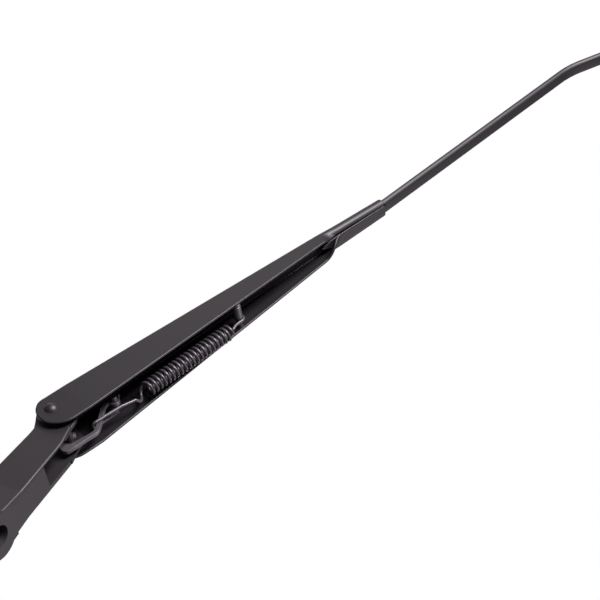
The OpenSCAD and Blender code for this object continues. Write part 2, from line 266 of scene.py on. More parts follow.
class Workbench:
    """Edit-mode modelling in millimetres, and the finishing of each piece."""

    SPIN_MERGE = 0.001
    EDGE_MERGE = 0.01
    FLAT_DEG = 0.5
    CLAMP_BELOW = 0.5
    FACE_WEIGHT = 60

    @staticmethod
    def only(obj: bpy.types.Object) -> None:
        """Makes an object the only selected and active one.

        Args:
            obj: the object.
        """
        if bpy.context.object and bpy.context.object.mode != "OBJECT":
            bpy.ops.object.mode_set(mode="OBJECT")
        bpy.ops.object.select_all(action="DESELECT")
        obj.select_set(True)
        bpy.context.view_layer.objects.active = obj

    @classmethod
    def edit(cls, obj: bpy.types.Object, work: Callable[[], None]) -> None:
        """Runs edit-mode work on an object, with all of its mesh selected.

        Args:
            obj: the object.
            work: what to do there.
        """
        cls.only(obj)
        bpy.ops.object.mode_set(mode="EDIT")
        bpy.ops.mesh.select_mode(type="VERT")
        bpy.ops.mesh.select_all(action="SELECT")
        work()
        bpy.ops.object.mode_set(mode="OBJECT")

    @staticmethod
    def mesh(name: str, points: Sequence[Point3], faces: Sequence[Sequence[int]],
             edges: Sequence[tuple[int, int]] = ()) -> bpy.types.Object:
        """Makes an object from points.

        Args:
            name: object name.
            points: vertices in millimetres.
            faces: vertex numbers of each face.
            edges: loose edges.

        Returns:
            The object.
        """
        data = bpy.data.meshes.new(name)
        data.from_pydata([Vector(p) for p in points], list(edges), [list(f) for f in faces])
        data.update()
        obj = bpy.data.objects.new(name, data)
        bpy.context.scene.collection.objects.link(obj)
        return obj

    @staticmethod
    def turn_outward() -> None:
        """Turns all faces of the mesh in edit mode outwards."""
        bpy.ops.mesh.select_all(action="SELECT")
        bpy.ops.mesh.normals_make_consistent(inside=False)

    @classmethod
    def plate(cls, name: str, outline: Sequence[Point2], low: float, high: float,
              plane: str = "XZ") -> bpy.types.Object:
        """Extrudes an outline into a plate.

        Args:
            name: object name.
            outline: corner points in order.
            low: start of the thickness.
            high: end of the thickness.
            plane: "XZ" for thickness along Y, "XY" for thickness along Z.

        Returns:
            The closed plate.
        """
        side = plane == "XZ"
        points = [(a, low, b) if side else (a, b, low) for a, b in outline]
        obj = cls.mesh(name, points, [range(len(points))])
        step = (0, high - low, 0) if side else (0, 0, high - low)

        def pull() -> None:
            """Pulls the outline's face through the thickness."""
            bpy.ops.mesh.extrude_region_move(TRANSFORM_OT_translate={"value": step})
            cls.turn_outward()

        cls.edit(obj, pull)
        return obj

    @classmethod
    def turned(cls, name: str, profile: Sequence[Point2], centre: Point3, axis: str = "Y",
               steps: int = 48) -> bpy.types.Object:
        """Spins a profile into a turned piece.

        Args:
            name: object name.
            profile: radius and distance along the axis, from one end to the other.
            centre: a point on the axis.
            axis: "Y" or "Z".
            steps: segments round the axis.

        Returns:
            The closed piece.
        """
        cx, cy, cz = centre
        if axis == "Y":
            points = [(cx + r, cy + d, cz) for r, d in profile]
            turn = (0, 1, 0)
        else:
            points = [(cx + r, cy, cz + d) for r, d in profile]
            turn = (0, 0, 1)
        rim = [(i, i + 1) for i in range(len(points) - 1)]
        obj = cls.mesh(name, points, [], rim)

        def spin() -> None:
            """Spins the profile and closes its seam and poles."""
            bpy.ops.mesh.spin(steps=steps, angle=math.tau, center=centre, axis=turn,
                              dupli=False, use_auto_merge=True)
            bpy.ops.mesh.select_all(action="SELECT")
            bpy.ops.mesh.remove_doubles(threshold=cls.SPIN_MERGE)
            cls.turn_outward()

        cls.edit(obj, spin)
        return obj

    @classmethod
    def apply(cls, obj: bpy.types.Object, kind: str, **values: object) -> None:
        """Adds a modifier and applies it at once.

        Args:
            obj: the object.
            kind: modifier type.
            values: modifier settings.
        """
        cls.only(obj)
        mod = obj.modifiers.new(kind.lower(), kind)
        for key, value in values.items():
            setattr(mod, key, value)
        bpy.ops.object.modifier_apply(modifier=mod.name)

    @classmethod
    def combine(cls, obj: bpy.types.Object, other: bpy.types.Object, how: str) -> None:
        """Joins, cuts or intersects with another solid, which is used up.

        Args:
            obj: the solid that stays.
            other: the solid that goes.
            how: UNION, DIFFERENCE or INTERSECT.
        """
        cls.apply(obj, "BOOLEAN", object=other, operation=how, solver="EXACT")
        bpy.data.objects.remove(other)

    @classmethod
    def bevel(cls, obj: bpy.types.Object, width: float, segments: int, angle: float,
              clamp: bool = False) -> None:
        """Bevels the sharp edges of a piece.

        Args:
            obj: the object.
            width: bevel width in millimetres.
            segments: bevel segments.
            angle: edges that turn by more than this many degrees are bevelled.
            clamp: whether a narrow place holds the bevel back.
        """
        cls.apply(obj, "BEVEL", width=width, segments=segments, limit_method="ANGLE",
                  angle_limit=math.radians(angle), use_clamp_overlap=clamp)

    @classmethod
    def round_edges(cls, obj: bpy.types.Object, width: float, segments: int = 3,
                    angle: float = 32) -> None:
        """Merges doubles and flat faces of a piece, then rounds its sharp edges.

        Args:
            obj: the object.
            width: bevel width in millimetres.
            segments: bevel segments.
            angle: edges that turn by more than this many degrees are rounded.
        """
        def clean() -> None:
            """Merges doubles and faces that lie flat together."""
            bpy.ops.mesh.remove_doubles(threshold=cls.EDGE_MERGE)
            bpy.ops.mesh.dissolve_limited(angle_limit=math.radians(cls.FLAT_DEG))

        cls.edit(obj, clean)
        cls.bevel(obj, width, segments, angle, clamp=width < cls.CLAMP_BELOW)

    @classmethod
    def place(cls, obj: bpy.types.Object, where: Matrix, finish: Finish, body: Body, slot: Slot,
              nodes: Sequence[str], smooth: float = 35, flat_faces: bool = True) -> None:
        """Moves a finished mesh into the row frame and gives it its finish and body.

        Args:
            obj: the object, its mesh in millimetres.
            where: matrix to the row frame.
            finish: its finish.
            body: the body that it rides on.
            slot: its material slot; not used.
            nodes: frame nodes that it stands for.
            smooth: edges below this angle, in degrees, are shaded smooth.
            flat_faces: whether large faces keep their own normals, so that only bevels look round.
        """
        obj.data.transform(where)
        obj.data.update()
        cls.only(obj)
        bpy.ops.object.shade_smooth_by_angle(angle=math.radians(smooth))
        if flat_faces:
            cls.apply(obj, "WEIGHTED_NORMAL", mode="FACE_AREA", weight=cls.FACE_WEIGHT,
                      keep_sharp=True)
        obj.data.materials.clear()
        obj.data.materials.append(LIBRARY.get(finish))
        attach(obj, body.value)
        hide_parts(*nodes)
        LOG.info("%s: %d faces on %s", obj.name, len(obj.data.polygons), body.value)


def arc(cx: float, cz: float, r: float, start: float, end: float, steps: int) -> list[Point2]:
    """Points on an arc.

    Args:
        cx: centre, first coordinate.
        cz: centre, second coordinate.
        r: radius.
        start: first angle in degrees.
        end: last angle in degrees.
        steps: number of chords.

    Returns:
        steps + 1 points.
    """
    angles = [math.radians(start + (end - start) * i / steps) for i in range(steps + 1)]
    return [(cx + r * math.cos(a), cz + r * math.sin(a)) for a in angles]


def pin_profile(r: float, low: float, high: float, edge: float) -> list[Point2]:
    """Profile of a pin with chamfered ends.

    Args:
        r: radius.
        low: start along the axis.
        high: end along the axis.
        edge: size of the chamfers.

    Returns:
        Six points of radius and distance along the axis.
    """
    return [(0, low), (r - edge, low), (r, low + edge), (r, high - edge), (r - edge, high), (0, high)]


# Mounting head


@dataclass(frozen=True)
class HeadSizes:
    """Sizes of the mounting head, in head coordinates."""

    half_w: float = 10.0
    wall: float = 2.6
    ear_half: float = 9.4
    ear_r: float = 9.8
    ear_edge_r: float = 0.7
    shoulder_r: float = 13.5
    shoulder: Point2 = (3.56, -3.87)
    base_z: float = -18.0
    rise: float = 4.0
    slope: float = math.tan(math.radians(3.3))
    edge_r: float = 1.1
    inner_edge_r: float = 0.35
    spindle_x: float = -78.0
    boss_r: float = 14.0
    boss_fade: float = 10.0
    boss_inset: float = 0.02
    pocket_x: float = -34.0
    roof_z: float = 0.8
    floor_x: float = -14.0
    floor_z: float = -16.5
    floor_in: float = 2.0
    lip: float = 1.2
    bush_bore_r: float = 4.55
    bore_r: float = 4.1
    taper_r: float = 6.0
    taper_len: float = 11.0
    taper_below: float = 0.5
    taper_flare: float = 0.09
    seat_z: float = -1.0
    recess_r: float = 11.0
    pin_x: float = -5.4
    pin_z: float = -12.0
    pin_r: float = 2.0
    pin_short: float = 0.05
    pin_edge: float = 0.3


class MountingHead:
    """The casting, with its head pin; bushes and sleeve keep their frame meshes."""

    # Reach of raw solids and cutters past the casting's own faces
    BOSS_SPARE = 4
    PAST_BOSS = 3
    BELOW = 2
    # Reach of cutters from the hinge's centre
    ACROSS = 20
    ABOVE = 30
    AHEAD = 14
    THROUGH = 40

    def __init__(self, sizes: HeadSizes = HeadSizes()) -> None:
        """Keeps the sizes."""
        self.s = sizes

    def _body(self) -> bpy.types.Object:
        """Makes the outside of the casting.

        Returns:
            The body without its cavities.
        """
        s = self.s
        top = s.rise - s.spindle_x * s.slope
        cx, cz = s.shoulder
        side = [(s.spindle_x, s.base_z), (-18, s.base_z), (-13, -17.1), (-7.4, -15.9)]
        side += arc(cx, cz, s.shoulder_r, start=236, end=146, steps=24)
        side += [(-9.4, s.rise), (-17, s.rise), (s.spindle_x, top)]
        body = Workbench.plate("mounting_head", side, -s.half_w, s.half_w)
        Workbench.round_edges(body, s.edge_r, segments=4, angle=60)
        fade = s.spindle_x + s.boss_r + s.boss_fade
        inset = s.half_w - s.boss_inset
        plan = arc(s.spindle_x, 0, s.boss_r, start=55, end=305, steps=44)
        plan += [(fade, -inset), (fade, inset)]
        boss = Workbench.plate("boss", plan, s.base_z, top + self.BOSS_SPARE, "XY")
        Workbench.round_edges(boss, s.edge_r, segments=4, angle=60)
        Workbench.combine(body, boss, "UNION")
        left = s.spindle_x - s.boss_r - self.PAST_BOSS
        over = [(left, top + self.PAST_BOSS * s.slope + s.boss_r * s.slope),
                (-16, s.rise - s.slope), (-16, self.ABOVE), (left, self.ABOVE)]
        lid = Workbench.plate("over", over, -self.ACROSS, self.ACROSS)
        Workbench.combine(body, lid, "DIFFERENCE")
        return body

    def _ears(self) -> bpy.types.Object:
        """Makes the two ears as one plate.

        Returns:
            The plate, to be parted by the pocket.
        """
        s = self.s
        outline = [(-18.5, s.rise - 0.5), (-18.5, -17.8)]
        outline += [(-15, -17.5), (-12, -16.9), (-9, -16.1), (-6, -15.6), (-3, -15.4), (0, -15.0)]
        outline += [(2.2, -14.2), (4.0, -12.8), (5.6, -10.8), (6.8, -8.6)]
        outline += arc(0, 0, s.ear_r, start=-40, end=112, steps=26)
        outline += [(-8.5, 6.3), (-12, 4.6), (-15.2, s.rise - 0.3)]
        ears = Workbench.plate("ears", outline, -s.ear_half, s.ear_half)
        Workbench.round_edges(ears, s.ear_edge_r, segments=4)
        return ears

    def _cutters(self) -> list[bpy.types.Object]:
        """Makes the solids that are cut away.

        Returns:
            Pocket, hinge gap, floor recess, bores and nut recess.
        """
        s = self.s
        inner = s.half_w - s.wall
        low = s.base_z - self.BELOW
        ahead, through = self.AHEAD, self.THROUGH
        pocket = Workbench.plate("pocket", [
            (s.pocket_x, low), (ahead, low), (ahead, s.roof_z), (s.pocket_x + 5, s.roof_z - 0.2),
            (s.pocket_x + 1.6, s.roof_z - 2.2), (s.pocket_x, s.roof_z - 6)], -inner, inner)
        gap = Workbench.plate("gap", [(-11, -2), (ahead, -2), (ahead, 20), (-11, 20)], -inner, inner)
        end_x = s.spindle_x + s.boss_r - s.floor_in
        floor = Workbench.plate("floor", [
            (end_x, low), (s.floor_x, low), (s.floor_x, s.floor_z), (end_x, s.floor_z)],
            s.lip - s.half_w, s.boss_r + 1)
        bush, pin = ([(0, -through), (r, -through), (r, through), (0, through)]
                     for r in (s.bush_bore_r, s.pin_r))
        under = s.base_z - s.taper_below
        spindle = [(0, under), (s.taper_r + s.taper_flare, under), (s.bore_r, s.base_z + s.taper_len),
                   (s.bore_r, s.seat_z), (s.recess_r, s.seat_z), (s.recess_r, self.ABOVE),
                   (0, self.ABOVE)]
        return [
            pocket, gap, floor,
            Workbench.turned("bush_bore", bush, (0, 0, 0)),
            Workbench.turned("pin_bore", pin, (s.pin_x, 0, s.pin_z), steps=32),
            Workbench.turned("spindle", spindle, (s.spindle_x, 0, 0), "Z", 64),
        ]

    def build(self) -> None:
        """Builds the casting and the head pin."""
        s = self.s
        body = self._body()
        Workbench.combine(body, self._ears(), "UNION")
        for cutter in self._cutters():
            Workbench.combine(body, cutter, "DIFFERENCE")
        Workbench.round_edges(body, s.inner_edge_r, segments=2, angle=38)
        Workbench.place(body, FRAME.head(), CAST_BLACK, Body.HEAD, Slot.PAINT, ["mounting_head"])
        half = s.ear_half - s.pin_short
        profile = pin_profile(s.pin_r, -half, half, s.pin_edge)
        pin = Workbench.turned("head_pin_visible", profile, (s.pin_x, 0, s.pin_z), steps=32)
        # The head pin takes the near-black pin steel, whose darkness is partly painted shade for the
        # head's pocket.
        Workbench.place(pin, FRAME.head(), PIN_STEEL_PAINTED_SHADE, Body.HEAD, Slot.STEEL, ["head_pin"])


# Retainer


@dataclass(frozen=True)
class RetainerSizes:
    """Sizes of the folded sheet, in arm coordinates."""

    sheet: float = 1.5
    half_hinge: float = 14.2
    half_nose: float = 6.1
    corner_x: float = 16.5
    end_x: float = 257.0
    top: float = 11.5
    drop: float = -16.0
    round_x: float = 4.75
    round_z: float = -2.25
    round_r: float = 13.75
    web_x: float = 9.0
    fold_r: float = 2.6
    nose_r: float = 3.5
    edge_x: float = 196.0
    edge_at_roll: float = 0.5
    edge_past: float = 1.05
    roll_from: float = 202.0
    roll_to: float = 219.0
    far_turn: float = 90.0
    near_turn: float = 76.0
    near_lap: float = 0.1
    seam_y: float = -3.3
    seam_half: float = 0.35
    rim_r: float = 0.62
    tab: tuple[Point2, ...] = (
        (202, -0.2), (205.7, -1.9), (212, -2.8), (220, -3.0), (220, 4.6), (214, 4.3), (207, 2.0))
    tab_low: float = 0.03
    tab_high: float = 1.4
    tab_edge_r: float = 0.45
    rivet_r: float = 3.0
    rivet_head_r: float = 3.8
    rivet_head_h: float = 2.4


class Retainer:
    """The sheet channel that tapers into its nose, and the rivet."""

    FLANGE_ROWS = 14
    FOLD_ROWS = 10
    WEB_ROWS = 8
    ROLL_ROWS = 16
    DOME_ROWS = 8
    # Share of the flange's height that the fold's rows take where the round end has no fold
    TOP_SHARE = 0.02
    MERGE = 0.0005

    def __init__(self, sizes: RetainerSizes = RetainerSizes()) -> None:
        """Keeps the sizes."""
        self.s = sizes

    def half(self, x: float) -> float:
        """Half width outside.

        Args:
            x: distance along the arm.

        Returns:
            Half width in millimetres.
        """
        s = self.s
        if x <= s.corner_x:
            return s.half_hinge
        share = (x - s.corner_x) / (s.end_x - s.corner_x)
        return s.half_hinge + (s.half_nose - s.half_hinge) * share

    def reach(self, x: float) -> float:
        """Half height of the flange's round hinge end.

        Args:
            x: distance along the arm.

        Returns:
            Height above and below the round's centre, in millimetres.
        """
        s = self.s
        return math.sqrt(max(s.round_r ** 2 - (x - s.round_x) ** 2, 0))

    def lower_edge(self, x: float) -> float:
        """Height of the flange's lower edge where the channel is open.

        Args:
            x: distance along the arm.

        Returns:
            Height in millimetres.
        """
        s = self.s
        if x < s.round_x:
            return s.round_z - self.reach(x)
        if x < s.corner_x:
            return s.drop
        share = (x - s.corner_x) / (s.edge_x - s.corner_x)
        return s.drop + (s.edge_at_roll - s.drop) * min(share, s.edge_past)

    def side_points(self, x: float, near: bool) -> list[Point2]:
        """Section of one side, from the web outwards and down to the free edge.

        Args:
            x: distance along the arm.
            near: whether the lap is the short one of the camera's side.

        Returns:
            Points (y, z) of the outer surface for the side with positive y.
        """
        s = self.s
        k = min(max((x - s.roll_from) / (s.roll_to - s.roll_from), 0), 1)
        k = k * k * (3 - 2 * k)
        w = self.half(x)
        r = s.fold_r + (s.nose_r - s.fold_r) * k
        turn = 90 + (s.near_turn if near else s.far_turn) * k
        lap = s.near_lap if near else w - r - s.seam_y - s.seam_half
        low = self.lower_edge(x)
        high = s.round_z + self.reach(x) if x < s.round_x else s.top
        over = s.top - high
        if over < r:
            start = math.degrees(math.acos(1 - over / r))
            angles = [math.radians(start + (turn - start) * i / self.FOLD_ROWS)
                      for i in range(self.FOLD_ROWS + 1)]
            points = [(w - r + r * math.sin(a), s.top - r + r * math.cos(a)) for a in angles]
            tail = (1 - k) * (s.top - r - low) + k * lap
        else:
            spread = [self.TOP_SHARE * i / self.FOLD_ROWS for i in range(self.FOLD_ROWS + 1)]
            points = [(w, high - d * (high - low)) for d in spread]
            tail = points[-1][1] - low
        y0, z0 = points[-1]
        a = math.radians(turn)
        for i in range(1, self.FLANGE_ROWS + 1):
            d = tail * i / self.FLANGE_ROWS
            points.append((y0 + d * math.cos(a), z0 - d * math.sin(a)))
        return points

    def stations(self) -> list[float]:
        """Places along the arm where the section is drawn.

        Returns:
            Distances, rising.
        """
        s = self.s
        around = (9, 18, 27, 36, 46, 56, 66, 78)
        rounded = [s.round_x - s.round_r * math.cos(math.radians(a)) for a in around]
        fixed = [s.round_x, s.web_x, 12.5, s.corner_x, 30, 60, 90, 120, 150, 175, s.edge_x, s.roll_from]
        rolls = [s.roll_from + (s.roll_to - s.roll_from) * i / self.ROLL_ROWS
                 for i in range(1, self.ROLL_ROWS + 1)]
        return rounded + fixed + rolls + [225, 236, 247, s.end_x]

    def _grid(self) -> tuple[list[Point3], list[list[Optional[int]]]]:
        """Lays out the section at every station.

        Returns:
            The points, and for each station their numbers, with None where the web is open.
        """
        s = self.s
        points: list[Point3] = []
        columns: list[list[Optional[int]]] = []
        for x in self.stations():
            near = [(-y, z) for y, z in reversed(self.side_points(x, True))]
            flat = near[-1][0]
            web = [(flat + (-flat * 2) * i / self.WEB_ROWS, s.top) for i in range(1, self.WEB_ROWS)]
            column: list[Optional[int]] = []
            for stretch, is_open in ((near, False), (web, x < s.web_x),
                                     (self.side_points(x, False), False)):
                for y, z in stretch:
                    if is_open:
                        column.append(None)
                        continue
                    points.append((x, y, z))
                    column.append(len(points) - 1)
            columns.append(column)
        return points, columns

    def _loft(self) -> bpy.types.Object:
        """Joins the sections into a skin and closes its round ends at the hinge.

        Returns:
            The open skin, facing outwards.
        """
        s = self.s
        points, columns = self._grid()
        quads = [(left[j], left[j + 1], right[j + 1], right[j])
                 for left, right in zip(columns, columns[1:]) for j in range(len(left) - 1)]
        faces = [quad for quad in quads if None not in quad]
        side_n = self.FOLD_ROWS + self.FLANGE_ROWS + 1
        for side, offset in ((-1, 0), (1, side_n + self.WEB_ROWS - 1)):
            column = columns[0][offset : offset + side_n]
            points.append((s.round_x - s.round_r, side * s.half_hinge, s.round_z))
            end = len(points) - 1
            faces += [(end, column[j + 1], column[j]) for j in range(side_n - 1)]
        obj = Workbench.mesh("retainer_sheet", points, faces)

        def settle() -> None:
            """Merges doubles and turns the faces one way."""
            bpy.ops.mesh.remove_doubles(threshold=self.MERGE)
            Workbench.turn_outward()

        Workbench.edit(obj, settle)
        self._face_out(obj)
        return obj

    def _lap_tab(self) -> bpy.types.Object:
        """Makes the pointed end of the far lap.

        Returns:
            The closed tab.
        """
        s = self.s
        lap_z = s.top - 2 * s.nose_r
        tab = Workbench.plate("lap_tab", s.tab, lap_z + s.tab_low, lap_z + s.tab_high, "XY")
        Workbench.round_edges(tab, s.tab_edge_r)
        return tab

    def sheet(self) -> bpy.types.Object:
        """Gives the loft its thickness and its rim, and adds the tab.

        Returns:
            The closed sheet piece.
        """
        s = self.s
        obj = self._loft()
        Workbench.apply(obj, "SOLIDIFY", thickness=s.sheet, offset=-1.0, use_even_offset=True,
                        use_quality_normals=True)
        Workbench.bevel(obj, s.rim_r, segments=4, angle=50)
        tab = self._lap_tab()
        Workbench.only(obj)
        tab.select_set(True)
        bpy.ops.object.join()
        return obj

    @staticmethod
    def _face_out(obj: bpy.types.Object) -> None:
        """Flips the loft when its web faces down.

        Args:
            obj: the open loft.
        """
        web = max(obj.data.polygons, key=lambda p: p.center.z)
        if web.normal.z < 0:
            obj.data.flip_normals()

    def _rivet(self) -> bpy.types.Object:
        """Turns the rivet with a domed head on each flange.

        Returns:
            The closed rivet.
        """
        s = self.s
        w, r, h = s.half_hinge, s.rivet_head_r, s.rivet_head_h
        big = (r * r + h * h) / (2 * h)
        low = math.degrees(math.asin(min(r / big, 1)))
        angles = [math.radians(low * i / self.DOME_ROWS) for i in range(self.DOME_ROWS + 1)]
        dome = [(big * math.sin(a), w + h - big + big * math.cos(a)) for a in angles]
        profile = [(q, -d) for q, d in dome] + [(s.rivet_r, -w), (s.rivet_r, w)]
        profile += [(q, d) for q, d in reversed(dome)]
        return Workbench.turned("hinge_rivet_visible", profile, (0, 0, 0), steps=56)

    def build(self) -> None:
        """Builds the sheet and the rivet."""
        Workbench.place(self.sheet(), FRAME.arm(), SATIN_BLACK, Body.ARM, Slot.PAINT,
                        ["retainer"], smooth=38)
        Workbench.place(self._rivet(), FRAME.arm(), RIVET_BLACK, Body.ARM, Slot.PAINT,
                        ["hinge_rivet"], smooth=40)


# Flat bar


@dataclass(frozen=True)
class BarSizes:
    """Sizes of the flat bar, in arm coordinates."""

    width: float = 9.0
    thick: float = 4.0
    edge_r: float = 0.4
    # Round the section, in half widths across and half thicknesses up
    section: tuple[Point2, ...] = (
        (-0.66, 1.0), (-0.84, 0.9), (-0.95, 0.65), (-1.0, 0.3), (-0.99, -0.02), (-0.94, -0.26),
        (-0.84, -0.54), (-0.73, -0.79), (-0.6, -0.91), (-0.4, -0.96), (-0.2, -0.985), (0.0, -1.0),
        (0.2, -1.0), (0.4, -0.985), (0.6, -0.95), (0.78, -0.85), (0.92, -0.6), (0.99, -0.25),
        (1.0, 0.1), (0.95, 0.55), (0.84, 0.85), (0.66, 1.0))
    start_x: float = 209.0
    centre_z: float = 8.0
    first_x: float = 258.0
    set_deg: float = 4.3
    set_r: float = 32.0
    run: float = 187.2
    bend_deg: float = -19.3
    bend_r: float = 60.0
    tip: float = 52.2
    hook_r: float = 6.0
    leg: float = 13.0


class FlatBar:
    """The bar, extruded and bent step by step."""

    def __init__(self, sizes: BarSizes = BarSizes()) -> None:
        """Starts at the bar's held end.

        Args:
            sizes: sizes of the bar.
        """
        self.s = sizes
        self._angle = 0.0
        self._at = Vector((sizes.start_x, 0, sizes.centre_z))

    def build(self) -> None:
        """Builds the bar from its held end to the tip of the hook."""
        s = self.s
        ring = [(y * s.width / 2, z * s.thick / 2) for y, z in s.section]
        points = [(s.start_x, y, s.centre_z + z) for y, z in ring]
        obj = Workbench.mesh("flat_bar", points, [range(len(points))])

        def bend_all() -> None:
            """Draws the bar out from its held end, bend by bend."""
            self._straight(s.first_x - s.start_x, steps=3)
            self._bend(s.set_deg, s.set_r, steps=3)
            self._straight(s.run, steps=6)
            self._bend(s.bend_deg, s.bend_r, steps=8)
            self._straight(s.tip, steps=3)
            self._bend(-180, s.hook_r, steps=24)
            self._straight(s.leg, steps=2)
            Workbench.turn_outward()

        Workbench.edit(obj, bend_all)
        Workbench.bevel(obj, s.edge_r, segments=2, angle=60, clamp=True)
        Workbench.place(obj, FRAME.arm(), BAR_BLACK, Body.ARM, Slot.PAINT, ["arm_rod"],
                        smooth=50, flat_faces=False)

    def _straight(self, length: float, steps: int) -> None:
        """Extrudes the end face straight ahead.

        Args:
            length: how far.
            steps: number of extrusions.
        """
        ahead = Vector((math.cos(self._angle), 0, math.sin(self._angle))) * (length / steps)
        for _ in range(steps):
            bpy.ops.mesh.extrude_region_move(TRANSFORM_OT_translate={"value": ahead})
            self._at += ahead

    def _bend(self, angle: float, radius: float, steps: int) -> None:
        """Extrudes the end face round a bend.

        Args:
            angle: degrees, positive lifts the far end.
            radius: radius of the bar's middle plane.
            steps: number of extrusions.
        """
        way = 1 if angle > 0 else -1
        turn = math.radians(angle) / steps
        centre = self._at + Vector((-math.sin(self._angle), 0, math.cos(self._angle))) * radius * way
        for _ in range(steps):
            bpy.ops.mesh.extrude_region_move(TRANSFORM_OT_translate={"value": (0, 0, 0)})
            bpy.ops.transform.rotate(value=turn, orient_axis="Y", center_override=centre)
            self._angle += turn
            arm = self._at - centre
            self._at = centre + Matrix.Rotation(-turn, 3, "Y") @ arm


# Spring and link


@dataclass(frozen=True)
class SpringSizes:
    """Sizes of the spring, its link and the anchor, in arm coordinates."""

    mech_y: float = 3.0
    wire: float = 1.8
    mean_r: float = 4.1
    coils: int = 20
    coil_x: float = 55.0
    coil_len: float = 61.0
    coil_z: float = -10.5
    rise: float = math.tan(math.radians(2.16))
    start_deg: float = 235.0
    lead: float = 13.0
    lead_in: float = 0.5
    # The wire closes in past the last coil: steps along it, steps to a turn, steps to the middle
    close: tuple[float, ...] = (0.3, 0.7, 1.1, 1.5, 2.0, 2.5, 3.1, 3.8)
    close_turns: float = 16.0
    close_r: float = 8.4
    anchor: Point2 = (127.5, -3.2)
    outer_r: float = 2.98
    sleeve_r: float = 2.6
    anchor_r: float = 2.0
    inner_x: float = 17.4
    inner_r: float = 2.25
    link_t: float = 2.4
    link_edge_r: float = 0.35
    pin: Point2 = (-0.512, -13.149)
    pin_seat_r: float = 2.1
    stub: Point2 = (34.8, -5.4)
    stub_r: float = 1.75
    stub_wall: float = 1.3
    stub_low: float = -4.0
    stub_high: float = 3.0
    stub_edge: float = 0.35
    sleeve_near: float = -8.5
    sleeve_gap: float = 1.1
    sleeve_play: float = 0.05


